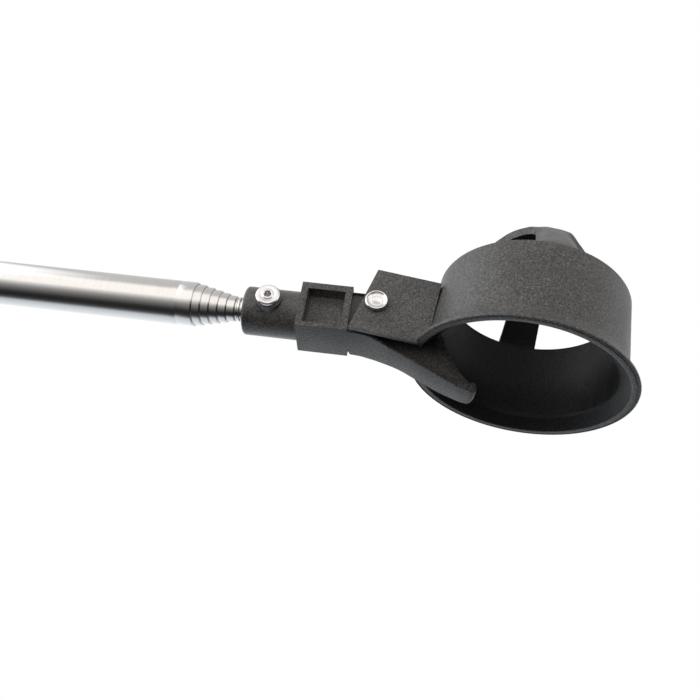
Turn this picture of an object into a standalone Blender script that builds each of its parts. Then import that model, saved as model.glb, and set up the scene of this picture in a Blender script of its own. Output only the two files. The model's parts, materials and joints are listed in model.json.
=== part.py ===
"""Golf ball retriever: a seven-section telescopic pole with a foam grip, a
moulded hook arm on its end and a moulded scoop that hinges on the arm.

Lengths below are in millimetres in the design frame: the origin is the hinge
pin's axis, +X runs along the pole towards the head, +Z is up and the scoop's
mouth faces down. SHIFT moves the finished object so that its own origin is
the middle of the underside of its bounding box. Objects are in metres.
"""

import math

import bmesh
import bpy
from mathutils import Matrix, Vector

MM = 0.001
SEG = 32  # facets round every tube and bush, all with the same phase
CUP_SEG = 56

# ---- whole object
SHIFT = (158.95, 0.0, 22.47)
POLE_Z = -1.8  # pole axis below the hinge pin
SCOOP_TILT = math.radians(8.0)  # closed scoop noses down by this much

# ---- telescopic pole
SECTION_R = (6.70, 6.15, 5.60, 5.05, 4.50, 3.95, 3.40)
WALL = 0.35
FRONT_X = (-53.4, -50.95, -48.5, -46.05, -43.65, -41.25, -23.9)
TAIL_X = -386.0
LIP_LENGTH = 1.0
LIP_CLEAR = 0.06
COLLAR_LENGTH = 8.0
SPIGOT_LENGTH = 4.0
STAGGER = COLLAR_LENGTH + SPIGOT_LENGTH + 0.5
BUSH_WALL = 0.75

# ---- grip
GRIP_BACK, GRIP_FRONT = -384.0, -270.0
GRIP_R = 13.2
GRIP_BORE = SECTION_R[0] + 0.15
CAP_BACK = -391.0

# ---- hook arm
SLEEVE_R, SLEEVE_BACK = 7.2, -38.5
BLOCK_X = (-22.2, -7.2)
BLOCK_HALF_Y, BLOCK_HALF_Z = 7.2, 7.5
POCKET_X = (-20.2, -9.25)
POCKET_Z = (-7.95, 3.65)
POCKET_DEPTH = 3.9
BOSS_X, BOSS_R, BOSS_Y, BOSS_FAR_Y = -30.95, 3.9, 8.45, 6.9
TONGUE_HALF_Y, CLAW_HALF_Y = 6.1, 3.9
TONGUE_R = 4.6

# ---- scoop
CUP_X = 43.6
MOUTH_Z, WALL_TOP_Z = -9.7, 18.3
CHEEK_Y = (6.4, 9.0)
STRAP_X = 45.0 - CUP_X

# ---- pin and screw
PIN_R = 1.6
HEAD_R = 3.3


def clear_scene():
    for ob in list(bpy.data.objects):
        bpy.data.objects.remove(ob, do_unlink=True)


clear_scene()
PARTS = bpy.data.collections.new("golf_ball_retriever")
CUTTERS = bpy.data.collections.new("cutters")
bpy.context.scene.collection.children.link(PARTS)
bpy.context.scene.collection.children.link(CUTTERS)


def material(name, colour, roughness, metallic):
    mat = bpy.data.materials.new(name)
    mat.use_nodes = True
    shader = mat.node_tree.nodes["Principled BSDF"]
    shader.inputs["Base Color"].default_value = (*colour, 1.0)
    shader.inputs["Roughness"].default_value = roughness
    shader.inputs["Metallic"].default_value = metallic
    return mat


STEEL = material("stainless_tube", (0.62, 0.61, 0.59), 0.24, 1.0)
PLASTIC = material("black_moulded_plastic", (0.045, 0.045, 0.048), 0.55, 0.0)
BUSH = material("grey_bush_plastic", (0.30, 0.30, 0.31), 0.5, 0.0)
FOAM = material("grip_foam", (0.03, 0.03, 0.032), 0.9, 0.0)
RIVET = material("nickel_plated_rivet", (0.75, 0.74, 0.72), 0.28, 1.0)
SPRING = material("spring_wire", (0.45, 0.44, 0.43), 0.35, 1.0)


def placed(x, y, z):
    return Vector(((x + SHIFT[0]) * MM, (y + SHIFT[1]) * MM, (z + SHIFT[2]) * MM))


def add_object(name, mesh, collection, mat=None, parent=None):
    ob = bpy.data.objects.new(name, mesh)
    collection.objects.link(ob)
    if mat:
        mesh.materials.append(mat)
    if collection is CUTTERS:
        ob.hide_render = True
        ob.display_type = "WIRE"
    if parent:
        ob.parent = parent
    return ob


def empty(name, location, rotation=(0, 0, 0)):
    ob = bpy.data.objects.new(name, None)
    PARTS.objects.link(ob)
    ob.location = location
    ob.rotation_euler = rotation
    ob.empty_display_size = 0.01
    return ob


def turned(name, profile, collection=PARTS, mat=None, closed=True, steps=SEG, parent=None):
    """Screw a profile of (radius, height) points round local Z. The points run
    down the outer side and back up the inner one; an open profile starts and
    ends on the axis."""
    mesh = bpy.data.meshes.new(name)
    verts = [(r * MM, 0.0, h * MM) for r, h in profile]
    count = len(verts)
    edges = [(i, (i + 1) % count) for i in range(count if closed else count - 1)]
    mesh.from_pydata(verts, edges, [])
    ob = add_object(name, mesh, collection, mat, parent)
    screw = ob.modifiers.new("turn", "SCREW")
    screw.steps = screw.render_steps = steps
    screw.use_merge_vertices = True
    screw.merge_threshold = 1e-6
    screw.use_smooth_shade = True
    if not closed:
        weld = ob.modifiers.new("poles", "WELD")
        weld.merge_threshold = 1e-6
    return ob


def lay_along_x(ob, x, z=POLE_Z):
    """Local Z points along world +X."""
    ob.rotation_euler = (0, math.pi / 2, 0)
    ob.location = placed(x, 0, z)


def prism(name, outline, y0, y1, collection=PARTS, mat=None, parent=None, plane="XZ"):
    """A flat outline, given counter-clockwise, extruded between two depths."""
    bm = bmesh.new()
    if plane == "XZ":
        base = [bm.verts.new((a * MM, y0 * MM, b * MM)) for a, b in outline]
        along = Vector((0, (y1 - y0) * MM, 0))
    else:
        base = [bm.verts.new((a * MM, b * MM, y0 * MM)) for a, b in outline]
        along = Vector((0, 0, (y1 - y0) * MM))
    face = bm.faces.new(base)
    top = bmesh.ops.extrude_face_region(bm, geom=[face])["geom"]
    bmesh.ops.translate(bm, vec=along, verts=[v for v in top if isinstance(v, bmesh.types.BMVert)])
    bmesh.ops.recalc_face_normals(bm, faces=bm.faces)
    mesh = bpy.data.meshes.new(name)
    bm.to_mesh(mesh)
    bm.free()
    return add_object(name, mesh, collection, mat, parent)


def cylinder(name, radius, length, axis, centre, collection=CUTTERS, segments=28, parent=None, taper=1.0):
    """A closed cylinder of this length centred on a point, along X, Y or Z."""
    bm = bmesh.new()
    turn = {"X": Matrix.Rotation(math.pi / 2, 4, "Y"), "Y": Matrix.Rotation(math.pi / 2, 4, "X"), "Z": Matrix()}[axis]
    bmesh.ops.create_cone(
        bm, cap_ends=True, segments=segments, radius1=radius * MM, radius2=radius * taper * MM,
        depth=length * MM, matrix=Matrix.Translation(Vector(centre) * MM) @ turn,
    )
    mesh = bpy.data.meshes.new(name)
    bm.to_mesh(mesh)
    bm.free()
    return add_object(name, mesh, collection, None, parent)


def box(name, low, high, collection=CUTTERS, bevel=0.0, parent=None):
    bm = bmesh.new()
    size = [(b - a) * MM for a, b in zip(low, high)]
    middle = [(a + b) / 2 * MM for a, b in zip(low, high)]
    bmesh.ops.create_cube(bm, size=1.0, matrix=Matrix.Translation(middle) @ Matrix.Diagonal((*size, 1)))
    if bevel:
        bmesh.ops.bevel(bm, geom=list(bm.edges), offset=bevel * MM, segments=2, profile=0.5, affect="EDGES")
    mesh = bpy.data.meshes.new(name)
    bm.to_mesh(mesh)
    bm.free()
    return add_object(name, mesh, collection, None, parent)


def boolean(ob, other, operation):
    mod = ob.modifiers.new(f"{operation.lower()}_{other.name}", "BOOLEAN")
    mod.operation = operation
    mod.object = other
    mod.solver = "EXACT"
    return mod


def arc(cx, cy, r, start, end, steps):
    return [
        (cx + r * math.cos(math.radians(start + (end - start) * i / steps)),
         cy + r * math.sin(math.radians(start + (end - start) * i / steps)))
        for i in range(steps + 1)
    ]


# ------------------------------------------------------------------ the pole
def tail(i):
    return TAIL_X + STAGGER * i


def make_tube(i):
    """Section i as a thin tube whose front edge is rolled in over the next one."""
    name = f"tube_{i + 1}"
    length = FRONT_X[i] - tail(i)
    ro, ri = SECTION_R[i], SECTION_R[i] - WALL
    if i < 6:
        lip = SECTION_R[i + 1] + LIP_CLEAR
        profile = [
            (ro - 0.22, length), (ro, length - 0.3), (ro, 0), (ri, 0),
            (ri, length - LIP_LENGTH), (lip, length - LIP_LENGTH + 0.12), (lip, length),
        ]
    else:
        # two rolled beads just behind the socket, then the plain end inside it
        b1, b2 = SLEEVE_BACK - 1.6 - tail(i), SLEEVE_BACK - 0.55 - tail(i)
        profile = [(ro, length)]
        for b in (b2, b1):
            profile += [(ro, b + 0.4), (ro + 0.32, b + 0.15), (ro + 0.32, b - 0.15), (ro, b - 0.4)]
        profile += [(ro, 0), (ri, 0), (ri, length)]
    ob = turned(name, profile, mat=STEEL)
    lay_along_x(ob, tail(i))
    return ob


def make_bush(i):
    """The sliding collar on the tail of section i, with a spigot in its bore."""
    collar = SECTION_R[i - 1] - WALL - 0.06
    spigot = SECTION_R[i] - WALL - 0.05
    bore = spigot - BUSH_WALL
    profile = [
        (spigot, SPIGOT_LENGTH), (spigot, -0.1), (collar - 0.12, -0.1), (collar, -0.35),
        (collar, -COLLAR_LENGTH + 0.3), (collar - 0.2, -COLLAR_LENGTH), (bore, -COLLAR_LENGTH), (bore, SPIGOT_LENGTH),
    ]
    ob = turned(f"bush_{i + 1}", profile, mat=BUSH)
    lay_along_x(ob, tail(i))
    return ob


TUBES = [make_tube(i) for i in range(7)]
for number in range(1, 7):
    make_bush(number)

screw_bore = cylinder("screw_bore_tube", 1.75, 30, "Y", (0, 0, 0), segments=16)
screw_bore.location = placed(BOSS_X, 0, POLE_Z)
boolean(TUBES[6], screw_bore, "DIFFERENCE")


# ------------------------------------------------------------------ the grip
def grip_radius(t):
    """Grip radius along its length, t from 0 at the back to 1 at the front."""
    waist = 1.1 * math.exp(-((t - 0.42) / 0.26) ** 2)
    return GRIP_R - waist - 1.6 * t ** 3


grip_length = GRIP_FRONT - GRIP_BACK
grip_profile = [(grip_radius(1) - 1.2, grip_length), (grip_radius(1), grip_length - 1.4)]
grip_profile += [(grip_radius(k / 8), grip_length * k / 8) for k in range(7, 0, -1)]
grip_profile += [(grip_radius(0), 1.4), (grip_radius(0) - 1.2, 0), (GRIP_BORE, 0), (GRIP_BORE, grip_length)]
lay_along_x(turned("grip_foam", grip_profile, mat=FOAM), GRIP_BACK)

ferrule = [(8.2, 8.0), (9.0, 7.2), (10.2, 1.2), (9.8, 0.3), (GRIP_BORE, 0.3), (GRIP_BORE, 8.0)]
lay_along_x(turned("grip_ferrule", ferrule, mat=PLASTIC), GRIP_FRONT)

plug_r = SECTION_R[0] - WALL - 0.1
cap_face = GRIP_BACK - CAP_BACK - 0.3
tube_end = TAIL_X - CAP_BACK
cap = [
    (0, cap_face + 2.2), (plug_r - 0.5, cap_face + 2.2), (plug_r, cap_face + 1.7), (plug_r, tube_end - 0.3), (SECTION_R[0] + 0.1, tube_end - 0.3),
    (SECTION_R[0] + 0.1, cap_face), (12.0, cap_face), (12.9, cap_face - 0.9), (12.9, 2.6), (11.9, 0.9), (10.2, 0.0), (0, 0),
]
lay_along_x(turned("end_cap", cap, mat=PLASTIC, closed=False), CAP_BACK)


# -------------------------------------------------------------- the hook arm
def claw_outline():
    """Side outline of tongue and claw: under the arm to the tip, back up the
    side that faces the ball, along the web's top and round the hinge."""
    under = [(-9.0, POLE_Z - BLOCK_HALF_Z), (-4.6, -9.4), (-1.0, -10.0), (3.0, -11.4), (8.4, -13.6), (12.0, -15.4), (16.0, -17.4), (19.6, -19.2), (25.3, -21.6)]
    tip = arc(28.45, -20.87, 1.6, -112, 75, 8)
    ball_side = [(28.1, -19.85), (27.1, -19.1), (25.5, -17.3), (23.4, -14.4), (21.7, -11.7), (20.5, -8.6), (20.0, -6.6)]
    inner = [(19.3, -5.6), (5.6, -5.6)]  # the web's top, in the slot of the scoop's rim
    hinge = arc(0, 0, TONGUE_R, -32, 100, 9)
    return under + tip + ball_side + inner + hinge + [(-4.4, 4.5), (-9.0, 4.5)]


arm = prism("hook_arm", claw_outline(), -TONGUE_HALF_Y, TONGUE_HALF_Y, mat=PLASTIC)
arm.location = placed(0, 0, 0)

for side in (-1, 1):
    plan = [(-1.0, 6.1), (3.0, 5.3), (8.0, 4.45), (20.0, 4.3), (26.0, CLAW_HALF_Y), (40, CLAW_HALF_Y), (40, 12), (-1.0, 12)]
    trim = prism(f"claw_trim_{'near' if side < 0 else 'far'}", [(a, b * side) for a, b in plan], -30, -4.9, CUTTERS, plane="XY")
    trim.location = placed(0, 0, 0)
    boolean(arm, trim, "DIFFERENCE")

block = box("arm_block", (BLOCK_X[0], -BLOCK_HALF_Y, POLE_Z - BLOCK_HALF_Z), (BLOCK_X[1], BLOCK_HALF_Y, POLE_Z + BLOCK_HALF_Z), bevel=0.35)
block.location = placed(0, 0, 0)
boolean(arm, block, "UNION")

sleeve_length = BLOCK_X[0] + 1.0 - SLEEVE_BACK
sleeve = turned(
    "arm_sleeve",
    [(0, sleeve_length), (SLEEVE_R, sleeve_length), (SLEEVE_R, 0.9), (SLEEVE_R - 0.28, 0.28), (SLEEVE_R - 0.9, 0), (0, 0)],
    CUTTERS, closed=False, steps=40,
)
lay_along_x(sleeve, SLEEVE_BACK)
boolean(arm, sleeve, "UNION")

boss = cylinder("arm_boss", BOSS_R, BOSS_Y + BOSS_FAR_Y, "Y", (0, (BOSS_FAR_Y - BOSS_Y) / 2, 0), segments=32)
boss.location = placed(BOSS_X, 0, POLE_Z)
boolean(arm, boss, "UNION")

spot_face = cylinder("arm_spot_face", BOSS_R - 0.2, 6.0, "Y", (0, BOSS_FAR_Y + 3.0, 0), segments=32)
spot_face.location = placed(BOSS_X, 0, POLE_Z)
boolean(arm, spot_face, "DIFFERENCE")

socket = cylinder("arm_socket", SECTION_R[6] + 0.15, 16.0, "X", (-8.0, 0, 0), segments=SEG)
socket.location = placed(FRONT_X[6] + 0.4, 0, POLE_Z)
boolean(arm, socket, "DIFFERENCE")

screw_hole = cylinder("arm_screw_hole", 1.75, 30, "Y", (0, 0, 0), segments=16)
screw_hole.location = placed(BOSS_X, 0, POLE_Z)
boolean(arm, screw_hole, "DIFFERENCE")

pocket = box("arm_pocket", (POCKET_X[0], -BLOCK_HALF_Y - 3, POCKET_Z[0]), (POCKET_X[1], -BLOCK_HALF_Y + POCKET_DEPTH, POCKET_Z[1]))
pocket.location = placed(0, 0, 0)
boolean(arm, pocket, "DIFFERENCE")

spring_slot = box("arm_spring_slot", (-5.4, -3.4, -4.4), (12.0, 3.4, 9.0))
spring_slot.location = placed(0, 0, 0)
boolean(arm, spring_slot, "DIFFERENCE")

pin_hole = cylinder("arm_pin_hole", PIN_R + 0.2, 30, "Y", (0, 0, 0), segments=24)
pin_hole.location = placed(0, 0, 0)
boolean(arm, pin_hole, "DIFFERENCE")

# ----------------------------------------------------------- the socket screw
screw_profile = [
    (0, 1.0), (0.9, 1.0), (0.95, 1.55), (1.75, 1.55), (1.95, 1.05), (3.1, 1.05), (3.45, 0.7), (3.45, 0.0),
    (1.5, 0.0), (1.5, -17.3), (0, -17.3),
]
screw = turned("socket_screw", screw_profile, mat=RIVET, closed=False, steps=28)
screw.location = placed(BOSS_X, -BOSS_Y - 0.2, POLE_Z)
screw.rotation_euler = (math.pi / 2, 0, 0)

nut = cylinder("socket_nut", 2.9, 1.8, "Y", (0, 0, 0), PARTS, segments=6)
nut.data.materials.append(RIVET)
nut.location = placed(BOSS_X, BOSS_FAR_Y + 1.15, POLE_Z)
nut_bore = cylinder("nut_bore", 1.65, 8, "Y", (0, 0, 0), segments=28)
nut_bore.location = nut.location
boolean(nut, nut_bore, "DIFFERENCE")

# ------------------------------------------------------------------ the scoop
hinge = empty("scoop_hinge", placed(0, 0, 0), (0, SCOOP_TILT, 0))


def cup_profile():
    """Radius and height of the cup: dome cage, wall and flared lip outside,
    then the chamfered mouth, the bore and the inside of the dome."""
    outside = [(0, 41.2), (5, 40.7), (9.5, 39.2), (12.5, 37.6), (14.6, 35.4), (19.4, 29.4), (24.0, 23.4), (26.6, 19.9), (27.65, 18.0)]
    outside += [(27.9, 10.0), (28.3, -2.0), (28.7, -4.6), (29.7, -6.9), (31.0, -8.4), (31.4, -9.2)]
    mouth = [(31.1, MOUTH_Z), (29.1, MOUTH_Z), (26.1, -6.6)]
    inside = [(25.6, -5.6), (25.3, 10.0), (25.2, 16.6), (24.7, 18.7), (22.3, 22.0), (17.7, 28.0), (12.95, 33.95), (11.2, 35.8), (8.6, 37.2), (4.6, 38.5), (0, 39.0)]
    return outside + mouth + inside


cup = turned("scoop_cup", cup_profile(), mat=PLASTIC, closed=False, steps=CUP_SEG, parent=hinge)
cup.location = (CUP_X * MM, 0, 0)


# Edge of one dome window, as half widths of the two straps that cross at the
# crown: up the strap along Y, round the corner and out along the strap along X.
STRAP_EDGE = (
    (6.9, 34.0), (6.5, 27.0), (5.95, 21.0), (5.4, 15.0), (5.4, 13.2), (5.9, 11.7), (7.2, 10.6), (9.4, 9.3),
    (11.3, 8.0), (13.3, 6.7), (16.0, 5.6), (20.0, 4.9), (24.0, 4.7), (28.0, 4.7), (34.0, 5.0),
)


def window_outline(sx, sy):
    """Plan of one dome window, open outwards past the wall. sx and sy pick
    the quadrant."""
    points = [(STRAP_X + sx * a, sy * b) for a, b in STRAP_EDGE + ((34.0, 34.0),)]
    return points if sx * sy < 0 else points[::-1]


for sx in (-1, 1):
    for sy in (-1, 1):
        tag = f"{'head' if sx > 0 else 'pole'}_{'far' if sy > 0 else 'near'}"
        cutter = prism(f"window_{tag}", window_outline(sx, sy), WALL_TOP_Z, 60, CUTTERS, parent=hinge, plane="XY")
        cutter.location = cup.location
        boolean(cup, cutter, "DIFFERENCE")

CHEEK_TOP = [(18.0, -5.4), (18.0, 11.3), (-2.3, 11.3)]
CHEEK_NEAR = [(-5.5, -10.05), (14.3, -10.05)] + CHEEK_TOP
CHEEK_FAR = [(-4.9, -7.4), (8.0, -8.6), (14.3, -9.9)] + CHEEK_TOP
for side, outline in ((-1, CHEEK_NEAR), (1, CHEEK_FAR)):
    cheek = prism(
        f"cheek_{'near' if side < 0 else 'far'}", outline, side * CHEEK_Y[0], side * CHEEK_Y[1], CUTTERS, parent=hinge,
    )
    boolean(cup, cheek, "UNION")
bridge = box("cheek_bridge", (11.0, -CHEEK_Y[0] - 0.6, 8.6), (17.6, CHEEK_Y[0] + 0.6, 10.9), parent=hinge)
boolean(cup, bridge, "UNION")
rim_slot = box("rim_slot", (8.0, -6.25, -14.0), (20.5, 6.25, -2.4), parent=hinge)
boolean(cup, rim_slot, "DIFFERENCE")
cheek_hole = cylinder("cheek_hole", PIN_R + 0.12, 30, "Y", (0, 0, 0), segments=24, parent=hinge)
boolean(cup, cheek_hole, "DIFFERENCE")

# -------------------------------------------------- the pin, sleeve and spring
head_y = CHEEK_Y[1] + 0.12
dish = [(0, 0.72), (1.7, 0.72), (2.35, 1.2), (3.0, 1.2), (HEAD_R, 0.85), (HEAD_R, 0)]
pin_profile = [(r, head_y + h) for r, h in dish] + [(PIN_R, head_y), (PIN_R, -head_y)] + [(r, -head_y - h) for r, h in reversed(dish)]
pin = turned("hinge_rivet", pin_profile, mat=RIVET, closed=False, steps=28, parent=hinge)
pin.rotation_euler = (math.pi / 2, 0, 0)

tube = turned("spring_sleeve", [(2.25, 3.0), (2.25, -3.0), (PIN_R + 0.15, -3.0), (PIN_R + 0.15, 3.0)], mat=BUSH, steps=24)
tube.rotation_euler = (math.pi / 2, 0, 0)
tube.location = placed(0, 0, 0)


def spring_points():
    """A leg up from the slot's floor, four and a half turns round the pin, and
    a leg out to the bridge between the scoop's cheeks."""
    mean, turns, per_turn = 2.98, 4.5, 14
    start, length = math.radians(-90), 4.9
    points = [(-4.6, -length / 2, -3.75), (-2.4, -length / 2, -3.2)]
    total = int(turns * per_turn)
    for k in range(total + 1):
        angle = start + turns * 2 * math.pi * k / total
        points.append((mean * math.cos(angle), -length / 2 + length * k / total, mean * math.sin(angle)))
    points += [(2.9, length / 2, 3.7), (11.6, length / 2, 6.35)]
    return points


curve = bpy.data.curves.new("return_spring_path", "CURVE")
curve.dimensions = "3D"
curve.bevel_depth = 0.4 * MM
curve.bevel_resolution = 1
curve.use_fill_caps = True
spline = curve.splines.new("POLY")
pts = spring_points()
spline.points.add(len(pts) - 1)
for point, (x, y, z) in zip(spline.points, pts):
    point.co = (x * MM, y * MM, z * MM, 1.0)
spring = bpy.data.objects.new("return_spring", curve)
PARTS.objects.link(spring)
spring.location = placed(0, 0, 0)
curve.materials.append(SPRING)
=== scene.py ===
"""Golf ball retriever: the visual model over the CAD frame.

Design frame, in millimetres: the origin is the hinge pin's axis, +X runs along
the pole to the head, +Z is up and the scoop's mouth faces down. w() takes a
point of it to the row frame in metres.
"""
import json
import math

import bmesh
import bpy
from mathutils import Matrix, Vector

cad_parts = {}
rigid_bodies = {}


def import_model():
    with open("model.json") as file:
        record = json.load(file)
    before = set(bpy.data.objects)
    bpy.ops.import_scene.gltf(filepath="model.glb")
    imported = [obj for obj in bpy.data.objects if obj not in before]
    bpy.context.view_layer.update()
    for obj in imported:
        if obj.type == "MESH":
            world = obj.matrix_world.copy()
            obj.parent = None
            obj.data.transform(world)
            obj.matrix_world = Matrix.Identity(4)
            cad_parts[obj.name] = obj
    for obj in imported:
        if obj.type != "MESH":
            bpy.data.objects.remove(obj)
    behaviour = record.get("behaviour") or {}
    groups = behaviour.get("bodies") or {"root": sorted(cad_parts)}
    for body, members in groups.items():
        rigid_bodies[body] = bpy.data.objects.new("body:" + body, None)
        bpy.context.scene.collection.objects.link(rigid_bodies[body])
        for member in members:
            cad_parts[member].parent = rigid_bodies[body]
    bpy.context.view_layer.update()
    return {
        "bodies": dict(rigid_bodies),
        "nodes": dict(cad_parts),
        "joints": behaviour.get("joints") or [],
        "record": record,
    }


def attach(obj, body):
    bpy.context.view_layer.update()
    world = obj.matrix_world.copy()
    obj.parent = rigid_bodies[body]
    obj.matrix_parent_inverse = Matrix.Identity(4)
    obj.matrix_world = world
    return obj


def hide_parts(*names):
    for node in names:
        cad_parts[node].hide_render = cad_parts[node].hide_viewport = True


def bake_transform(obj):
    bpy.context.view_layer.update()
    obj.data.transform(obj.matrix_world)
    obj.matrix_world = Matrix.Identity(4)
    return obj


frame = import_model()

MM = 0.001
SHIFT = Vector((158.95, 0.0, 22.47))
POLE_Z = -1.8
TILT = math.radians(8.0)
CUP_X = 43.6
ROUND = 112


def w(x, y, z):
    return (Vector((x, y, z)) + SHIFT) * MM


# ------------------------------------------------------------ node materials
def new_material(name):
    mat = bpy.data.materials.new(name)
    mat.use_nodes = True
    tree = mat.node_tree
    return mat, tree, tree.nodes["Principled BSDF"]


def node(tree, kind, **values):
    n = tree.nodes.new(kind)
    for key, value in values.items():
        if key.startswith("_"):
            setattr(n, key[1:], value)
        else:
            n.inputs[key.replace("__", " ")].default_value = value
    return n


def coords(tree, scale=(1, 1, 1)):
    tc = tree.nodes.new("ShaderNodeTexCoord")
    mp = tree.nodes.new("ShaderNodeMapping")
    mp.inputs["Scale"].default_value = scale
    tree.links.new(tc.outputs["Object"], mp.inputs["Vector"])
    return mp.outputs["Vector"]


def noise(tree, vector, scale, detail=2.0, rough=0.5):
    n = node(tree, "ShaderNodeTexNoise", Scale=scale, Detail=detail, Roughness=rough)
    tree.links.new(vector, n.inputs["Vector"])
    return n.outputs["Fac"]


def ramp(tree, fac, stops):
    r = tree.nodes.new("ShaderNodeValToRGB")
    while len(r.color_ramp.elements) < len(stops):
        r.color_ramp.elements.new(0.5)
    for element, (pos, colour) in zip(r.color_ramp.elements, stops):
        element.position = pos
        element.color = (*colour, 1.0) if len(colour) == 3 else colour
    tree.links.new(fac, r.inputs["Fac"])
    return r.outputs["Color"]


def grey(v):
    return (v, v, v)


def mix(tree, a, b, fac, mode="MIX"):
    m = tree.nodes.new("ShaderNodeMix")
    m.data_type = "RGBA"
    m.blend_type = mode
    for socket, value in ((m.inputs["Factor"], fac), (m.inputs["A"], a), (m.inputs["B"], b)):
        if isinstance(value, bpy.types.NodeSocket):
            tree.links.new(value, socket)
        else:
            socket.default_value = value
    return m.outputs["Result"]


def bump(tree, shader, layers):
    """layers of (height, strength, distance in metres), chained on the normal."""
    last = None
    for height, strength, distance in layers:
        b = node(tree, "ShaderNodeBump", Strength=strength, Distance=distance)
        tree.links.new(height, b.inputs["Height"])
        if last:
            tree.links.new(last, b.inputs["Normal"])
        last = b.outputs["Normal"]
    tree.links.new(last, shader.inputs["Normal"])


def moulded_plastic(name, dark, light, rough=0.5, grain=1.0, level=0.32):
    """Glass-filled black nylon: a fine spark-eroded grain in the bump, bright flecks
    painted into the colour as the grain's glints, and a little dusting where it has been handled."""
    mat, tree, shader = new_material(name)
    v = coords(tree)
    fine = noise(tree, v, 1750.0, 3.0, 0.6)
    coarse = noise(tree, v, 85.0, 3.0, 0.55)
    speck = noise(tree, v, 2300.0, 1.0, 0.5)
    base = ramp(tree, fine, [(0.38, dark), (0.62, light)])
    dust = ramp(tree, coarse, [(0.35, grey(0.88)), (0.70, grey(1.14))])
    base = mix(tree, base, dust, 1.0, "MULTIPLY")
    # bright flecks painted into the colour as glints of the grain
    painted_glint = ramp(tree, speck, [(0.60, grey(0.0)), (0.74, grey(0.8 * grain))])
    base = mix(tree, base, (light[0] * 2.2, light[1] * 2.15, light[2] * 2.05, 1), painted_glint)
    tree.links.new(base, shader.inputs["Base Color"])
    r = ramp(tree, coarse, [(0.3, grey(rough - 0.05)), (0.7, grey(rough + 0.07))])
    tree.links.new(r, shader.inputs["Roughness"])
    shader.inputs["Specular IOR Level"].default_value = level
    bump(tree, shader, [(fine, 0.8 * grain, 0.00022), (speck, 0.45 * grain, 0.0001)])
    return mat


def drawn_steel(name, colour, rough, streak=0.08):
    """Polished tube with faint drawing lines along the pole."""
    mat, tree, shader = new_material(name)
    lines = noise(tree, coords(tree, (6, 900, 900)), 1.6, 3.0, 0.6)
    smear = noise(tree, coords(tree, (14, 60, 60)), 1.0, 2.0, 0.5)
    c = ramp(tree, lines, [(0.25, tuple(x * 0.93 for x in colour)), (0.75, colour)])
    tree.links.new(c, shader.inputs["Base Color"])
    shader.inputs["Metallic"].default_value = 1.0
    r = ramp(tree, lines, [(0.2, grey(rough - streak * 0.5)), (0.8, grey(rough + streak * 0.5))])
    r = mix(tree, r, ramp(tree, smear, [(0.3, grey(0.85)), (0.75, grey(1.2))]), 1.0, "MULTIPLY")
    tree.links.new(r, shader.inputs["Roughness"])
    bump(tree, shader, [(lines, 0.05, 0.00004)])
    return mat


def turned_metal(name, colour, rough, pitch=2600.0):
    """Plated turned metal: fine concentric tool marks about local Z."""
    mat, tree, shader = new_material(name)
    v = coords(tree)
    wave = tree.nodes.new("ShaderNodeTexWave")
    wave.wave_type = "RINGS"
    wave.rings_direction = "Z"
    wave.inputs["Scale"].default_value = pitch
    wave.inputs["Distortion"].default_value = 1.5
    wave.inputs["Detail"].default_value = 1.0
    tree.links.new(v, wave.inputs["Vector"])
    blot = noise(tree, v, 420.0, 3.0, 0.6)
    c = ramp(tree, blot, [(0.3, tuple(x * 0.9 for x in colour)), (0.7, colour)])
    tree.links.new(c, shader.inputs["Base Color"])
    shader.inputs["Metallic"].default_value = 1.0
    r = ramp(tree, blot, [(0.3, grey(rough - 0.05)), (0.7, grey(rough + 0.08))])
    tree.links.new(r, shader.inputs["Roughness"])
    bump(tree, shader, [(wave.outputs["Fac"], 0.12, 0.00003), (blot, 0.08, 0.00005)])
    return mat


def foam(name):
    """Closed-cell grip foam: soft pores, a matt skin rubbed a little paler."""
    mat, tree, shader = new_material(name)
    v = coords(tree)
    cells = tree.nodes.new("ShaderNodeTexVoronoi")
    cells.feature = "DISTANCE_TO_EDGE"
    cells.inputs["Scale"].default_value = 1300.0
    tree.links.new(v, cells.inputs["Vector"])
    coarse = noise(tree, v, 130.0, 3.0, 0.6)
    fine = noise(tree, v, 1500.0, 2.0, 0.5)
    c = ramp(tree, fine, [(0.3, (0.020, 0.020, 0.021)), (0.75, (0.042, 0.042, 0.043))])
    c = mix(tree, c, ramp(tree, coarse, [(0.35, grey(0.85)), (0.7, grey(1.35))]), 1.0, "MULTIPLY")
    tree.links.new(c, shader.inputs["Base Color"])
    r = ramp(tree, coarse, [(0.3, grey(0.82)), (0.7, grey(0.94))])
    tree.links.new(r, shader.inputs["Roughness"])
    shader.inputs["Specular IOR Level"].default_value = 0.3
    bump(tree, shader, [(cells.outputs["Distance"], 0.5, 0.00015), (coarse, 0.25, 0.0004)])
    return mat


PLASTIC = moulded_plastic("black_moulded_nylon", (0.022, 0.021, 0.020), (0.072, 0.069, 0.066), 0.43)
# a much darker copy of the plastic: painted shade for the inside of the scoop
INSIDE_SHADE = moulded_plastic("black_nylon_inside_painted_shade", (0.005, 0.005, 0.005), (0.013, 0.0128, 0.0125), 0.46, 0.4, 0.16)
# a darker copy of the plastic: painted shade for the faces of the claw that face down
CLAW_UNDERSIDE_SHADE = moulded_plastic("black_nylon_claw_underside_painted_shade", (0.017, 0.0164, 0.0158), (0.055, 0.053, 0.051), 0.45, 0.8)
SOCKET = moulded_plastic("black_nylon_socket", (0.020, 0.019, 0.018), (0.066, 0.063, 0.060), 0.34, 0.7, 0.46)
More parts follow.
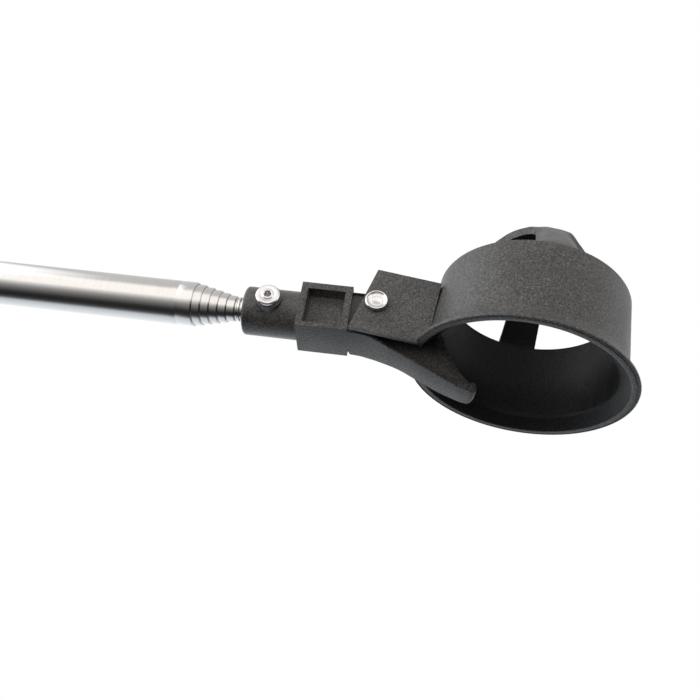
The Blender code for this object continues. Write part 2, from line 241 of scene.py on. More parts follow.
# a darker copy of the plastic: painted shade for the claw's web and ball side
CLAW_WEB_SHADE = moulded_plastic("black_nylon_claw_web_painted_shade", (0.014, 0.0136, 0.013), (0.046, 0.0445, 0.0425), 0.42, 0.8, 0.26)
BUSH = moulded_plastic("grey_acetal_bush", (0.24, 0.24, 0.25), (0.33, 0.33, 0.34), 0.42, 0.4)
CAP = moulded_plastic("black_cap_plastic", (0.028, 0.028, 0.030), (0.050, 0.050, 0.052), 0.42, 0.6)
STEEL = drawn_steel("polished_stainless_tube", (0.62, 0.605, 0.59), 0.13)
STEEL_DARK = drawn_steel("inner_stainless_tube", (0.60, 0.585, 0.565), 0.16)
RIVET = turned_metal("nickel_plated_rivet", (0.65, 0.632, 0.632), 0.24)
WIRE = drawn_steel("spring_wire", (0.52, 0.51, 0.50), 0.3)
FOAM = foam("closed_cell_foam")


# ------------------------------------------------------------- mesh helpers
def finish_mesh(name, mesh, mat, angle=38.0):
    mesh.materials.clear()
    mesh.materials.append(mat)
    mesh.shade_smooth()
    mesh.set_sharp_from_angle(angle=math.radians(angle))
    ob = bpy.data.objects.new(name, mesh)
    bpy.context.scene.collection.objects.link(ob)
    return ob


def fillet(points, radii, steps=4):
    """Round the corners of a polyline: radii maps an index to its radius."""
    out = []
    for i, p in enumerate(points):
        r = radii.get(i, 0.0)
        if r <= 0 or i in (0, len(points) - 1):
            out.append(tuple(p))
            continue
        p, a, b = Vector(p), Vector(points[i - 1]), Vector(points[i + 1])
        u, v = (a - p).normalized(), (b - p).normalized()
        angle = u.angle(v)
        if angle > math.radians(176):
            out.append(tuple(p))
            continue
        cut = min(r / math.tan(angle / 2), (a - p).length * 0.48, (b - p).length * 0.48)
        s, e = p + u * cut, p + v * cut
        for k in range(steps + 1):
            t = k / steps
            out.append(tuple((1 - t) ** 2 * s + 2 * t * (1 - t) * p + t * t * e))
    return out


def smooth_curve(points, per=6):
    """Catmull-Rom through the points."""
    p = [Vector(q) for q in points]
    p = [2 * p[0] - p[1]] + p + [2 * p[-1] - p[-2]]
    out = []
    for i in range(1, len(p) - 2):
        for k in range(per):
            t = k / per
            out.append(tuple(0.5 * ((2 * p[i]) + (p[i + 1] - p[i - 1]) * t + (2 * p[i - 1] - 5 * p[i] + 4 * p[i + 1] - p[i + 2]) * t * t + (3 * p[i] - p[i - 1] - 3 * p[i + 1] + p[i + 2]) * t ** 3)))
    out.append(tuple(p[-2]))
    return out


def turn(name, profile, mat, matrix, segs=None, closed=True, angle=38.0):
    """Revolve (radius, height) points in mm about local Z, placed by a matrix."""
    segs = segs or ROUND
    bm = bmesh.new()
    rings = []
    for r, h in profile:
        if r < 1e-6:
            rings.append([bm.verts.new((0, 0, h * MM))])
        else:
            rings.append([bm.verts.new((r * MM * math.cos(2 * math.pi * k / segs), r * MM * math.sin(2 * math.pi * k / segs), h * MM)) for k in range(segs)])
    pairs = list(zip(rings, rings[1:])) + ([(rings[-1], rings[0])] if closed else [])
    for a, b in pairs:
        for k in range(segs):
            n = (k + 1) % segs
            quad = [a[k % len(a)], b[k % len(b)], b[n % len(b)], a[n % len(a)]]
            unique = []
            for v in quad:
                if v not in unique:
                    unique.append(v)
            if len(unique) > 2:
                bm.faces.new(unique)
    bmesh.ops.recalc_face_normals(bm, faces=bm.faces)
    mesh = bpy.data.meshes.new(name)
    bm.to_mesh(mesh)
    bm.free()
    ob = finish_mesh(name, mesh, mat, angle)
    ob.matrix_world = matrix
    return ob


ALONG_X = Matrix.Rotation(math.pi / 2, 4, "Y")  # local Z to +X
TO_VIEWER = Matrix.Rotation(math.pi / 2, 4, "X")  # local Z to -Y


def at(x, y, z, rot=Matrix()):
    return Matrix.Translation(w(x, y, z)) @ rot


def prism_mesh(name, outline, d0, d1, plane="XZ"):
    bm = bmesh.new()
    if plane == "XZ":
        base = [bm.verts.new((a * MM, d0 * MM, b * MM)) for a, b in outline]
        along = Vector((0, (d1 - d0) * MM, 0))
    else:
        base = [bm.verts.new((a * MM, b * MM, d0 * MM)) for a, b in outline]
        along = Vector((0, 0, (d1 - d0) * MM))
    face = bm.faces.new(base)
    top = bmesh.ops.extrude_face_region(bm, geom=[face])["geom"]
    bmesh.ops.translate(bm, vec=along, verts=[v for v in top if isinstance(v, bmesh.types.BMVert)])
    bmesh.ops.recalc_face_normals(bm, faces=bm.faces)
    mesh = bpy.data.meshes.new(name)
    bm.to_mesh(mesh)
    bm.free()
    return mesh


def solid(name, mesh, matrix=Matrix()):
    ob = bpy.data.objects.new(name, mesh)
    bpy.context.scene.collection.objects.link(ob)
    ob.matrix_world = matrix
    return ob


def cylinder_mesh(name, radius, length, axis, centre=(0, 0, 0), segs=64):
    bm = bmesh.new()
    rot = {"X": Matrix.Rotation(math.pi / 2, 4, "Y"), "Y": Matrix.Rotation(math.pi / 2, 4, "X"), "Z": Matrix()}[axis]
    bmesh.ops.create_cone(bm, cap_ends=True, segments=segs, radius1=radius * MM, radius2=radius * MM, depth=length * MM,
                          matrix=Matrix.Translation(Vector(centre) * MM) @ rot)
    mesh = bpy.data.meshes.new(name)
    bm.to_mesh(mesh)
    bm.free()
    return mesh


def box_mesh(name, low, high):
    bm = bmesh.new()
    size = [(b - a) * MM for a, b in zip(low, high)]
    middle = [(a + b) / 2 * MM for a, b in zip(low, high)]
    bmesh.ops.create_cube(bm, size=1.0, matrix=Matrix.Translation(middle) @ Matrix.Diagonal((*size, 1)))
    mesh = bpy.data.meshes.new(name)
    bm.to_mesh(mesh)
    bm.free()
    return mesh


def pocket_mesh(name, low, high, rings):
    """Cutter for a moulded pocket in the near face: rectangles in XZ at each
    depth y, inset to give the walls their draft and a rounded foot."""
    bm = bmesh.new()
    loops = []
    for y, inset in rings:
        x0, z0, x1, z1 = low[0] + inset, low[1] + inset, high[0] - inset, high[1] - inset
        loops.append([bm.verts.new((x * MM, y * MM, z * MM)) for x, z in ((x0, z0), (x1, z0), (x1, z1), (x0, z1))])
    for a, b in zip(loops, loops[1:]):
        for k in range(4):
            bm.faces.new((a[k], a[(k + 1) % 4], b[(k + 1) % 4], b[k]))
    bm.faces.new(loops[0])
    bm.faces.new(loops[-1])
    bmesh.ops.recalc_face_normals(bm, faces=bm.faces)
    mesh = bpy.data.meshes.new(name)
    bm.to_mesh(mesh)
    bm.free()
    return mesh


def combine(base, steps, bevel=None, name=None, mat=None, angle=32.0):
    """Apply Booleans in turn, then an angle-limited bevel, and return one
    finished object."""
    for operation, other in steps:
        mod = base.modifiers.new(operation, "BOOLEAN")
        mod.operation = operation
        mod.object = other
        mod.solver = "EXACT"
    if bevel:
        weld = base.modifiers.new("weld", "WELD")
        weld.merge_threshold = 0.00002
        mod = base.modifiers.new("bevel", "BEVEL")
        mod.width = bevel * MM
        mod.segments = 3
        mod.limit_method = "ANGLE"
        mod.angle_limit = math.radians(angle)
        mod.use_clamp_overlap = True
        mod.harden_normals = False
    bpy.context.view_layer.update()
    dg = bpy.context.evaluated_depsgraph_get()
    mesh = bpy.data.meshes.new_from_object(base.evaluated_get(dg))
    mesh.transform(base.matrix_world)
    for ob in [base] + [o for _, o in steps]:
        bpy.data.objects.remove(ob, do_unlink=True)
    return finish_mesh(name, mesh, mat, 40.0)


def arc(cx, cy, r, start, end, steps):
    return [(cx + r * math.cos(math.radians(start + (end - start) * i / steps)),
             cy + r * math.sin(math.radians(start + (end - start) * i / steps))) for i in range(steps + 1)]


# ----------------------------------------------------------------- the pole
SECTION_R = (6.70, 6.15, 5.60, 5.05, 4.50, 3.95, 3.40)
WALL = 0.35
FRONT_X = (-53.4, -50.95, -48.5, -46.05, -43.65, -41.25, -23.9)
TAIL = [-386.0 + 12.5 * i for i in range(7)]
BODIES = ["handle"] + [f"section_{i}" for i in range(2, 8)]

for i in range(7):
    length = FRONT_X[i] - TAIL[i]
    ro, ri = SECTION_R[i], SECTION_R[i] - WALL
    if i < 6:
        lip = SECTION_R[i + 1] + 0.07
        # a swaged front: a shallow crimp ring, then an edge rolled inwards
        outer = [(ro, 0.0), (ro, length - 7.0), (ro, length - 5.3), (ro - 0.10, length - 5.0), (ro - 0.10, length - 4.7), (ro, length - 4.4), (ro, length - 0.5)]
        roll = arc(ro - 0.45, length - 0.45, 0.45, 0, 90, 6)
        inside = [(lip + 0.02, length - 0.02), (lip, length - 0.12), (lip, length - 0.9), (ri, length - 1.05), (ri, 0.0)]
        profile = outer + roll + inside
        if i:
            profile = [(ro, 0.0), (ro, length - 3.0), (ro, length - 0.5)] + roll + inside
    else:
        b1, b2 = -38.5 - 1.75 - TAIL[i], -38.5 - 0.62 - TAIL[i]
        profile = [(ro, 0.0)]
        for b in (b1, b2):
            profile += [(ro, b - 0.5)] + [(ro + 0.32 * math.sin(math.radians(a)), b - 0.42 * math.cos(math.radians(a))) for a in range(15, 180, 15)] + [(ro, b + 0.5)]
        profile += [(ro, length - 0.2), (ro - 0.1, length), (ri + 0.1, length), (ri, length - 0.2), (ri, 0.0)]
    tube = turn(f"pole_section_{i + 1}", profile, STEEL if i == 0 else STEEL_DARK, at(TAIL[i], 0, POLE_Z, ALONG_X), segs=ROUND, angle=32)
    if i == 6:
        hole = solid("hole", cylinder_mesh("hole", 1.75, 30, "Y", segs=32), at(-30.95, 0, POLE_Z))
        keep = tube.name
        tube = combine(tube, [("DIFFERENCE", hole)], None, keep, STEEL_DARK)
    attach(tube, BODIES[i])
    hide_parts(f"tube_{i + 1}")


# ----------------------------------------------------------------- the grip
def grip_r(t):
    waist = 1.1 * math.exp(-((t - 0.42) / 0.26) ** 2)
    return 13.2 - waist - 1.6 * t ** 3


glen = 114.0
gp = [(6.85, glen)] + [(7.6, glen)]
gp += [(grip_r(1) - 1.4 + 1.4 * math.sin(math.radians(a)), glen - 1.4 + 1.4 * math.cos(math.radians(a))) for a in range(0, 91, 18)]
body_pts = []
for k in range(78, 3, -1):
    t = k / 81
    ring = 0.0
    if 10 <= k <= 70 and (k % 6) in (0,):
        ring = 0.38
    body_pts.append((grip_r(t) - ring, glen * t))
gp += body_pts
gp += [(grip_r(0) - 1.4 + 1.4 * math.sin(math.radians(a)), 1.4 - 1.4 * math.cos(math.radians(a))) for a in range(90, -1, -18)]
gp += [(7.6, 0.0), (6.85, 0.0)]
grip = turn("foam_grip", gp, FOAM, at(-384.0, 0, POLE_Z, ALONG_X), segs=ROUND, angle=60)
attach(grip, "handle")
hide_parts("grip_foam")

fp = fillet([(6.86, 8.0), (8.2, 8.0), (9.0, 7.2), (10.2, 1.2), (9.9, 0.3), (6.86, 0.3)], {1: 0.5, 2: 0.6, 3: 0.5, 4: 0.3})
ferrule = turn("grip_front_ferrule", fp, CAP, at(-270.0, 0, POLE_Z, ALONG_X), segs=ROUND)
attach(ferrule, "handle")
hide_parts("grip_ferrule")

cap_face, tube_end, plug = 6.7, 5.0, 6.25
cp = fillet([(0, 0), (6.0, 0.0), (6.4, 0.35), (7.0, 0.35), (7.4, 0.0), (10.2, 0.0), (11.9, 0.9), (12.9, 2.6), (12.9, cap_face - 0.9), (12.0, cap_face), (6.8, cap_face),
             (6.8, tube_end - 0.3), (plug, tube_end - 0.3), (plug, cap_face + 1.7), (plug - 0.5, cap_face + 2.2), (0, cap_face + 2.2)],
            {2: 0.2, 3: 0.2, 5: 1.2, 6: 1.2, 7: 1.0, 8: 0.5, 9: 0.4})
cap = turn("grip_end_cap", cp, CAP, at(-391.0, 0, POLE_Z, ALONG_X), segs=ROUND, closed=False)
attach(cap, "handle")
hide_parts("end_cap")

# ------------------------------------------------------------- the hook arm
under = smooth_curve([(-9.0, -9.3), (-4.6, -9.4), (-1.0, -10.0), (3.0, -11.4), (8.4, -13.6), (12.0, -15.4), (16.0, -17.4), (19.6, -19.2), (25.3, -21.6)], 3)
tip = arc(28.45, -20.87, 1.6, -112, 75, 14)
ball_side = [(28.1, -19.85)] + smooth_curve([(27.1, -19.1), (25.5, -17.3), (23.4, -14.4), (21.7, -11.7), (20.5, -8.6), (20.0, -6.6)], 3)
inner = [(19.3, -5.6), (5.6, -5.6)]
outline = under + tip + ball_side + inner + arc(0, 0, 4.6, -32, 100, 14) + [(-4.4, 4.5), (-9.0, 4.5)]
arm = solid("arm_base", prism_mesh("arm_base", outline, -6.1, 6.1), at(0, 0, 0))
steps = []
for side in (-1, 1):
    nose = [(28.4, 3.85), (29.3, 3.5), (29.9, 2.9), (30.3, 2.0)] if side < 0 else [(27.0, 3.8), (28.2, 3.35), (29.1, 2.6), (29.7, 1.5), (30.1, 0.4)]
    plan = smooth_curve([(-1.0, 6.1), (3.0, 5.3), (8.0, 4.45), (14.0, 4.35), (20.0, 4.3), (25.0, 3.9)], 3) + nose + [(40, nose[-1][1]), (40, 12), (-1.0, 12)]
    steps.append(("DIFFERENCE", solid("trim", prism_mesh("trim", [(a, b * side) for a, b in plan], -30, -4.9, "XY"), at(0, 0, 0))))
# the claw's web is recessed between the flange below and the one by the ball
web = [(-0.4, -8.95), (1.6, -9.95), (4.0, -11.1), (8.4, -12.95), (12.0, -14.7), (16.0, -16.7), (19.6, -18.5), (24.3, -20.45), (25.2, -20.55), (24.9, -19.8), (23.2, -17.7), (20.8, -14.5), (18.6, -11.4), (17.8, -9.4), (17.2, -7.2), (6.8, -7.2), (3.6, -7.4), (-0.4, -7.0)]
for side in (-1, 1):
    steps.append(("DIFFERENCE", solid("web", prism_mesh("web", web, side * 3.45, side * 9.0), at(0, 0, 0))))
block = solid("block", box_mesh("block", (-22.2, -7.2, -9.3), (-7.2, 7.2, 5.7)), at(0, 0, 0))
steps.append(("UNION", block))
sl = [(0, 0), (6.3, 0.0)] + [(6.3 + 0.9 * math.sin(math.radians(a)), 0.9 - 0.9 * math.cos(math.radians(a))) for a in range(15, 91, 15)] + [(7.2, 17.3), (0, 17.3)]
sleeve = turn("sleeve", sl, PLASTIC, at(-38.5, 0, POLE_Z, ALONG_X), segs=96, closed=False)
steps.append(("UNION", sleeve))
steps.append(("UNION", solid("boss", cylinder_mesh("boss", 3.9, 15.35, "Y", (0, -0.775, 0), 64), at(-30.95, 0, POLE_Z))))
steps.append(("DIFFERENCE", solid("spot", cylinder_mesh("spot", 3.7, 6.0, "Y", (0, 9.9, 0), 64), at(-30.95, 0, POLE_Z))))
steps.append(("DIFFERENCE", solid("bore", cylinder_mesh("bore", 3.55, 16.0, "X", (-8, 0, 0), 64), at(-23.5, 0, POLE_Z))))
steps.append(("DIFFERENCE", solid("sh", cylinder_mesh("sh", 1.75, 30, "Y", (0, 0, 0), 32), at(-30.95, 0, POLE_Z))))
steps.append(("DIFFERENCE", solid("pk", pocket_mesh("pk", (-20.2, -7.95), (-9.25, 3.65), [(-9.0, 0.0), (-6.9, 0.0), (-4.3, 0.3), (-3.75, 0.5), (-3.4, 0.95), (-3.3, 1.6)]), at(0, 0, 0))))
steps.append(("DIFFERENCE", solid("nick", prism_mesh("nick", [(-7.25, -8.45), (-6.95, -8.5), (-6.1, -9.9), (-7.25, -9.9)], 4.4, 9.0), at(0, 0, 0))))
# relief between the block and the hinge, down to the flange
for side in (-1, 1):
    steps.append(("DIFFERENCE", solid("relief", prism_mesh("relief", [(-7.25, 4.3), (-7.25, -8.1), (-4.0, -8.2), (-0.6, -8.8), (-0.6, 3.9), (-2.2, 4.3)], side * 5.15, side * 9.0), at(0, 0, 0))))
steps.append(("DIFFERENCE", solid("ss", box_mesh("ss", (-5.4, -3.4, -4.4), (12.0, 3.4, 9.0)), at(0, 0, 0))))
steps.append(("DIFFERENCE", solid("ph", cylinder_mesh("ph", 1.8, 30, "Y", (0, 0, 0), 40), at(0, 0, 0))))
arm = combine(arm, steps, 0.32, "moulded_hook_arm", PLASTIC)
# the claw's web and ball side get a darker copy of the plastic and its downward faces another darker copy, both painted
# shade; the socket round the pole gets a glossier, slightly darker copy
arm.data.materials.append(CLAW_WEB_SHADE)
arm.data.materials.append(CLAW_UNDERSIDE_SHADE)
arm.data.materials.append(SOCKET)
for face in arm.data.polygons:
    c = face.center / MM - SHIFT
    if c.x > 3.5 and c.z < -5.0 and face.normal.z > -0.55:
        face.material_index = 1
    elif c.x > 5.0 and c.z < -9.0:
        face.material_index = 2
    elif c.x < -22.3:
        face.material_index = 3
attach(arm, "section_7")
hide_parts("hook_arm")

# ------------------------------------------------------------ screw and nut
sp = fillet([(0, -0.2), (0.22, -0.22), (0.5, -0.45), (0.86, -0.45), (0.92, 1.05), (1.12, 1.3), (1.5, 1.3), (1.85, 1.02), (2.0, 1.1), (3.1, 1.12), (3.5, 0.75), (3.5, 0.0), (1.5, 0.0), (1.5, -17.3), (0, -17.3)],
            {4: 0.12, 5: 0.1, 6: 0.15, 7: 0.1, 9: 0.3, 10: 0.3, 11: 0.1})
screw = turn("clamp_screw", sp, RIVET, at(-30.95, -8.65, POLE_Z, TO_VIEWER), segs=72, closed=False)
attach(screw, "section_7")
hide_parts("socket_screw")

bm = bmesh.new()
bmesh.ops.create_cone(bm, cap_ends=True, segments=6, radius1=2.9 * MM, radius2=2.9 * MM, depth=1.8 * MM, matrix=Matrix.Rotation(math.pi / 2, 4, "X"))
mesh = bpy.data.meshes.new("nut")
bm.to_mesh(mesh)
bm.free()
nut = solid("nut", mesh, at(-30.95, 8.05, POLE_Z))
nut = combine(nut, [("DIFFERENCE", solid("nb", cylinder_mesh("nb", 1.65, 8, "Y", segs=32), at(-30.95, 8.05, POLE_Z)))], 0.16, "clamp_nut", RIVET)
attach(nut, "section_7")
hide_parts("socket_nut")

# ---------------------------------------------------------------- the scoop
HINGE = Matrix.Translation(w(0, 0, 0)) @ Matrix.Rotation(TILT, 4, "Y")
CUP = HINGE @ Matrix.Translation((CUP_X * MM, 0, 0))

dome_out = smooth_curve([(0, 41.2), (5, 40.7), (9.5, 39.2), (12.5, 37.6), (14.6, 35.4), (19.4, 29.4), (24.0, 23.4), (26.6, 19.9), (27.65, 18.0)], 7)
wall_out = [(27.9, 10.0), (28.1, 4.0), (28.3, -2.0)] + smooth_curve([(28.38, -3.2), (28.7, -4.9), (29.7, -6.9), (30.9, -8.2)], 3)
lip = [(31.28, -8.75), (31.4, -9.2), (31.3, -9.55), (31.1, -9.7), (30.92, -9.7), (30.83, -9.5), (30.58, -9.5), (30.48, -9.67), (29.25, -9.68), (29.02, -9.58)]
mouth = [(26.2, -6.75), (25.95, -6.45), (25.6, -5.6)]
dome_in = smooth_curve([(25.3, 10.0), (25.2, 16.6), (24.7, 18.7), (22.3, 22.0), (17.7, 28.0), (12.95, 33.95), (11.2, 35.8), (8.6, 37.2), (4.6, 38.5), (0, 39.0)], 3)
dome_out[0] = (0, 41.2)
dome_in[-1] = (0, 39.0)
cup = turn("cup_base", dome_out + wall_out + lip + mouth + dome_in, PLASTIC, CUP, segs=192, closed=False)

# Edge of one dome window, as half widths of the two straps that cross at the
# crown: up the strap along Y, round the corner, out along the strap along X.
STRAP_EDGE = smooth_curve([
    (6.9, 34.0), (6.5, 27.0), (5.95, 21.0), (5.4, 15.0), (5.4, 13.2), (5.9, 11.7), (7.2, 10.6), (9.4, 9.3),
    (11.3, 8.0), (13.3, 6.7), (16.0, 5.6), (20.0, 4.9), (24.0, 4.7), (28.0, 4.7), (34.0, 5.0)], 4)
STRAP_X = 45.0 - CUP_X


def trim(a):
    """How much narrower the straps along Y are on the side away from the arm."""
    return 0.95 * max(0.0, min(1.0, (12.0 - a) / 4.0))


def edge_distance(x, y):
    """Plan distance in mm from a point of a strap to the nearest window edge;
    0 or less over a window."""
    p = Vector((abs(x - STRAP_X), abs(y)))
    if x > STRAP_X:
        p.x += trim(p.x + 0.5)
    best, inside = 1e9, False
    for (a, b), (c, d) in zip(STRAP_EDGE, STRAP_EDGE[1:]):
        s0, s1 = Vector((a, b)), Vector((c, d))
        e = s1 - s0
        t = max(0.0, min(1.0, (p - s0).dot(e) / e.length_squared))
        gap = p - (s0 + e * t)
        if gap.length < best:
            best, inside = gap.length, e.x * gap.y - e.y * gap.x > 0
    return -best if inside else best


def dome_height(r):
    for (r0, z0), (r1, z1) in zip(dome_out, dome_out[1:]):
        if r0 <= r <= r1:
            return z0 + (z1 - z0) * (r - r0) / max(r1 - r0, 1e-9)
    return dome_out[-1][1]


# The straps along Y are arches that are nearly level across; below the crown
# every strap's outer face falls away to thin edges.
for v in cup.data.vertices:
    x, y, z = v.co / MM
    r = math.hypot(x, y)
    if z < 18.4 or r > 27.7:
        continue
    outer = min(abs(z - h) + abs(r - q) for q, h in dome_out)
    if outer > 0.35:
        continue
    away = edge_distance(x, y)
    fall = max(0.0, min(1.0, 1.0 - away / 3.0))
    fall = fall * fall * (3 - 2 * fall) * 0.45 + fall * 0.55
    fade = max(0.0, min(1.0, (z - 18.4) / 3.4))
    lean = max(0.0, min(1.0, (abs(y) - abs(x - STRAP_X) - 1.5) / 6.0))
    lean = lean * lean * (3 - 2 * lean)
    fade *= (1.0 if x > STRAP_X else 0.5 + 0.6 * lean) * max(0.0 if x > STRAP_X else 0.4 * lean, min(1.0, (37.5 - z) / 6.0))
    flat = r + lean * (math.hypot(y, 0.35 * (x - STRAP_X)) - r)
    lift = (dome_height(flat) - dome_height(r)) * max(0.0, min(1.0, (z - 19.5) / 5.0))
    slope = Vector((x, y, 0)) * (0.75 / max(r, 1e-6)) if r > 13 else Vector((x, y, 0)) * (0.055)
    normal = (slope + Vector((0, 0, 0.66 if r > 13 else 0.95))).normalized()
    v.co -= normal * (1.35 * fall * fade * MM)
    v.co.z += lift * MM


def window(sx, sy):
    pts = [(STRAP_X + sx * (a - (trim(a) if sx > 0 else 0.0)), sy * b) for a, b in STRAP_EDGE + [(34.0, 34.0)]]
    return pts if sx * sy < 0 else pts[::-1]


steps = [("DIFFERENCE", solid("win", prism_mesh("win", window(sx, sy), 18.3, 60, "XY"), CUP)) for sx in (-1, 1) for sy in (-1, 1)]
top = [(16.55, -7.2), (16.55, 11.3), (-2.3, 11.3)]
near = [(-5.5, -10.05), (14.3, -10.05)] + top
far = [(-4.9, -7.4), (8.0, -8.6), (14.3, -9.9)] + top
steps.append(("UNION", solid("cn", prism_mesh("cn", near, -9.0, -6.4), HINGE)))
steps.append(("UNION", solid("cf", prism_mesh("cf", far, 6.4, 9.0), HINGE)))
steps.append(("UNION", solid("br", box_mesh("br", (11.0, -7.0, 8.6), (17.6, 7.0, 10.9)), HINGE)))
steps.append(("DIFFERENCE", solid("rb", box_mesh("rb", (-6.5, -7.7, -11.0), (14.7, -6.2, -8.75)), HINGE)))
steps.append(("DIFFERENCE", solid("rs", box_mesh("rs", (8.0, -6.25, -14.0), (20.5, 6.25, -2.4)), HINGE)))
steps.append(("DIFFERENCE", solid("ch", cylinder_mesh("ch", 1.72, 30, "Y", segs=40), HINGE)))
cup = combine(cup, steps, 0.28, "moulded_scoop", PLASTIC)
# the inside of the scoop gets a much darker, smoother copy of the plastic: the darkness is painted shade
cup.data.materials.append(INSIDE_SHADE)
inner_wall_r = [p[0] for p in dome_in][::-1]
inner_wall_z = [p[1] for p in dome_in][::-1]
to_cup = Matrix.Translation((-CUP_X * MM, 0, 0)) @ HINGE.inverted()
turn_cup = to_cup.to_3x3()
for face in cup.data.polygons:
    c = to_cup @ face.center / MM
    r = math.hypot(c.x, c.y)
    if r > 29.0 or c.z < -9.66:
        continue
    if c.z < 10:
        inner = r < 25.6 + max(0.0, (-5.6 - c.z)) * 0.95
    else:
        top = 39.0
        for (r0, z0), (r1, z1) in zip(zip(inner_wall_r, inner_wall_z), zip(inner_wall_r[1:], inner_wall_z[1:])):
            if r0 <= r <= r1:
                top = z0 + (z1 - z0) * (r - r0) / max(r1 - r0, 1e-9)
        inner = r < 25.4 and c.z < top + 0.15
    n = turn_cup @ face.normal
    if inner and n.z < 0.3 and (n.x * c.x + n.y * c.y) < 0.3 * r:
        face.material_index = 1
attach(cup, "scoop")
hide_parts("scoop_cup")

hy = 9.12
dish = fillet([(0, 0.40), (0.3, 0.42), (0.75, 0.60), (1.25, 0.62), (1.42, 0.72), (1.6, 0.64), (2.15, 0.70), (2.6, 0.96), (2.78, 1.2), (3.06, 1.2), (3.3, 0.88), (3.3, 0.0), (1.6, 0.0)],
              {2: 0.15, 4: 0.08, 5: 0.08, 6: 0.3, 7: 0.2, 8: 0.08, 9: 0.12, 10: 0.3, 11: 0.08})
pin = turn("hinge_pin", [(r, hy + h) for r, h in dish] + [(r, -hy - h) for r, h in reversed(dish)], RIVET, HINGE @ TO_VIEWER, segs=72, closed=False)
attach(pin, "scoop")
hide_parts("hinge_rivet")

ssp = fillet([(1.75, 3.0), (2.25, 3.0), (2.25, -3.0), (1.75, -3.0)], {1: 0.12, 2: 0.12})
sleeve = turn("spring_spacer", ssp, BUSH, at(0, 0, 0, TO_VIEWER), segs=48)
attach(sleeve, "section_7")
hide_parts("spring_sleeve")


def spring_points():
    mean, turns, per_turn, length = 2.98, 4.5, 32, 4.9
    start = math.radians(-90)
    pts = [(-4.6, -length / 2, -3.75), (-3.4, -length / 2, -3.5), (-2.0, -length / 2, -3.1)]
    total = int(turns * per_turn)
    for k in range(total + 1):
        a = start + turns * 2 * math.pi * k / total
        pts.append((mean * math.cos(a), -length / 2 + length * k / total, mean * math.sin(a)))
    pts += [(2.9 + 0.87 * k, length / 2, 3.7 + 0.265 * k) for k in range(11)]
    return pts


cu = bpy.data.curves.new("torsion_spring", "CURVE")
cu.dimensions = "3D"
cu.bevel_depth = 0.4 * MM
cu.bevel_resolution = 4
cu.use_fill_caps = True
sp_ = cu.splines.new("POLY")
pts = spring_points()
sp_.points.add(len(pts) - 1)
for point, (x, y, z) in zip(sp_.points, pts):
    point.co = (x * MM, y * MM, z * MM, 1.0)
spring_c = bpy.data.objects.new("torsion_spring_curve", cu)
bpy.context.scene.collection.objects.link(spring_c)
spring_c.location = w(0, 0, 0)
bpy.context.view_layer.update()
mesh = bpy.data.meshes.new_from_object(spring_c.evaluated_get(bpy.context.evaluated_depsgraph_get()))
spring = finish_mesh("torsion_spring", mesh, WIRE)
spring.location = w(0, 0, 0)
bpy.data.objects.remove(spring_c, do_unlink=True)
weld = bmesh.new()
weld.from_mesh(spring.data)
bmesh.ops.remove_doubles(weld, verts=weld.verts, dist=0.000001)
weld.to_mesh(spring.data)
weld.free()
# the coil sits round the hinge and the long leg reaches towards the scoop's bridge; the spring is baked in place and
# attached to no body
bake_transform(spring)
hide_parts("return_spring")

# carried-over CAD nodes: the bushes inside the pole
for i in range(2, 8):
    ob = frame["nodes"][f"bush_{i}"] if isinstance(frame, dict) else frame.nodes[f"bush_{i}"]
    if ob.data.materials:
        for s in range(len(ob.data.materials)):
            ob.data.materials[s] = BUSH
    else:
        ob.data.materials.append(BUSH)

# ------------------------------------------------- floor, light and camera
bm = bmesh.new()
bmesh.ops.create_grid(bm, x_segments=2, y_segments=2, size=6.0)
mesh = bpy.data.meshes.new("floor")
bm.to_mesh(mesh)
bm.free()
mat, tree, shader = new_material("pale_floor")
c = ramp(tree, noise(tree, coords(tree), 3.0, 2.0), [(0.3, grey(0.86)), (0.7, grey(0.90))])
tree.links.new(c, shader.inputs["Base Color"])
shader.inputs["Roughness"].default_value = 0.9
mesh.materials.append(mat)
floor = bpy.data.objects.new("floor", mesh)
bpy.context.scene.collection.objects.link(floor)
floor.location = (0, 0, -0.9)
floor.visible_glossy = False
floor.visible_diffuse = False
floor.visible_shadow = False

# A white light tent that is open below: brightest level with the object in
# front and low behind it, softer overhead, dark underneath and at the low sides.
world = bpy.data.worlds.new("studio")
bpy.context.scene.world = world
world.use_nodes = True
wt = world.node_tree
bg = wt.nodes["Background"]
direction = wt.nodes.new("ShaderNodeTexCoord").outputs["Generated"]
split = wt.nodes.new("ShaderNodeSeparateXYZ")
wt.links.new(direction, split.inputs["Vector"])


def math_node(kind, a, b=None):
    n = wt.nodes.new("ShaderNodeMath")
    n.operation = kind
    for slot, value in zip(n.inputs, (a, b)):
        if value is None:
            continue
        if isinstance(value, bpy.types.NodeSocket):
            wt.links.new(value, slot)
        else:
            slot.default_value = value
    return n.outputs["Value"]


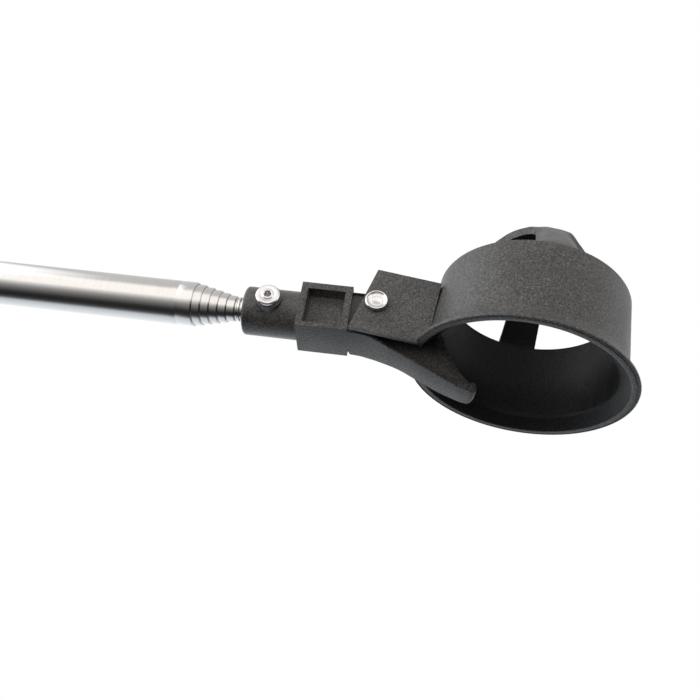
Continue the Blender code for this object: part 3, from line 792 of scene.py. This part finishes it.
# angle round the X axis in turns: 0.5 is towards the viewer, 0.25 straight
# down, 0.75 straight up, 0 and 1 behind
turns = math_node("ADD", math_node("DIVIDE", math_node("ARCTAN2", split.outputs["Z"], math_node("MULTIPLY", split.outputs["Y"], -1.0)), 2 * math.pi), 0.5)
RING = [
    (-180, (1.35, 1.4, 1.45)), (-146, (1.12, 1.2, 1.28)), (-130, (0.98, 1.06, 1.15)), (-117, (0.80, 0.86, 0.93)), (-110, (0.46, 0.49, 0.54)),
    (-103, (0.15, 0.16, 0.18)), (-94, (0.05, 0.052, 0.056)), (-80, (0.025, 0.025, 0.026)), (-66, (0.05, 0.049, 0.048)), (-50, (0.18, 0.178, 0.175)),
    (-33, (0.42, 0.415, 0.41)), (-18, (0.95, 0.94, 0.92)), (-6, (1.62, 1.58, 1.53)), (34, (1.62, 1.58, 1.53)), (52, (0.84, 0.83, 0.82)),
    (138, (0.82, 0.83, 0.85)), (156, (1.3, 1.33, 1.36)), (180, (1.35, 1.4, 1.45)),
]
ring = ramp(wt, turns, [((a + 180) / 360, tuple(c / 2 for c in colour)) for a, colour in RING])
side = math_node("ABSOLUTE", math_node("ADD", split.outputs["X"], 0.22))
side = ramp(wt, side, [(0.36, grey(1.0)), (0.62, grey(0.30)), (0.85, grey(0.12))])
below = ramp(wt, math_node("ADD", math_node("MULTIPLY", split.outputs["Z"], 0.5), 0.5), [(0.40, grey(1.0)), (0.50, grey(0.0))])
side = mix(wt, (1, 1, 1, 1), side, below)
total = mix(wt, ring, side, 1.0, "MULTIPLY")
# a panel at the left, towards the grip
left = wt.nodes.new("ShaderNodeVectorMath")
left.operation = "DOT_PRODUCT"
left.inputs[1].default_value = Vector((-0.93, -0.16, 0.33)).normalized()
wt.links.new(direction, left.inputs[0])
left = ramp(wt, left.outputs["Value"], [(0.72, grey(0.0)), (0.90, (1.18, 1.22, 1.28))])
total = mix(wt, total, left, 1.0, "ADD")
# and a weaker one past the head
right_side = wt.nodes.new("ShaderNodeVectorMath")
right_side.operation = "DOT_PRODUCT"
right_side.inputs[1].default_value = Vector((0.95, 0.05, 0.30)).normalized()
wt.links.new(direction, right_side.inputs[0])
right_side = ramp(wt, right_side.outputs["Value"], [(0.88, grey(0.0)), (0.98, (0.36, 0.38, 0.41))])
total = mix(wt, total, right_side, 1.0, "ADD")
wt.links.new(total, bg.inputs["Color"])
bg.inputs["Strength"].default_value = 2.0
# the tent itself is seen as plain white
plain = wt.nodes.new("ShaderNodeBackground")
plain.inputs["Color"].default_value = (1, 1, 1, 1)
seen = wt.nodes.new("ShaderNodeLightPath")
both = wt.nodes.new("ShaderNodeMixShader")
wt.links.new(seen.outputs["Is Camera Ray"], both.inputs["Fac"])
wt.links.new(bg.outputs["Background"], both.inputs[1])
wt.links.new(plain.outputs["Background"], both.inputs[2])
wt.links.new(both.outputs["Shader"], wt.nodes["World Output"].inputs["Surface"])
bpy.context.scene.view_settings.view_transform = "Standard"

cam = bpy.data.cameras.new("camera")
cam.sensor_width = 36.0
cam.lens = 649.124 * 36.0 / 700.0
cam.clip_start = 0.005
cam_ob = bpy.data.objects.new("camera", cam)
bpy.context.scene.collection.objects.link(cam_ob)
right = Vector((0.99118491, 0.00211372, 0.1324689))
down = Vector((0.11288495, 0.50991409, -0.85278638))
ahead = Vector((-0.06935031, 0.86022273, 0.50518054))
rot = Matrix((right, -down, -ahead)).transposed()
cam_ob.matrix_world = Matrix.Translation(w(6.86159593, -160.3395803, -105.54324308)) @ rot.to_4x4()
bpy.context.scene.camera = cam_ob
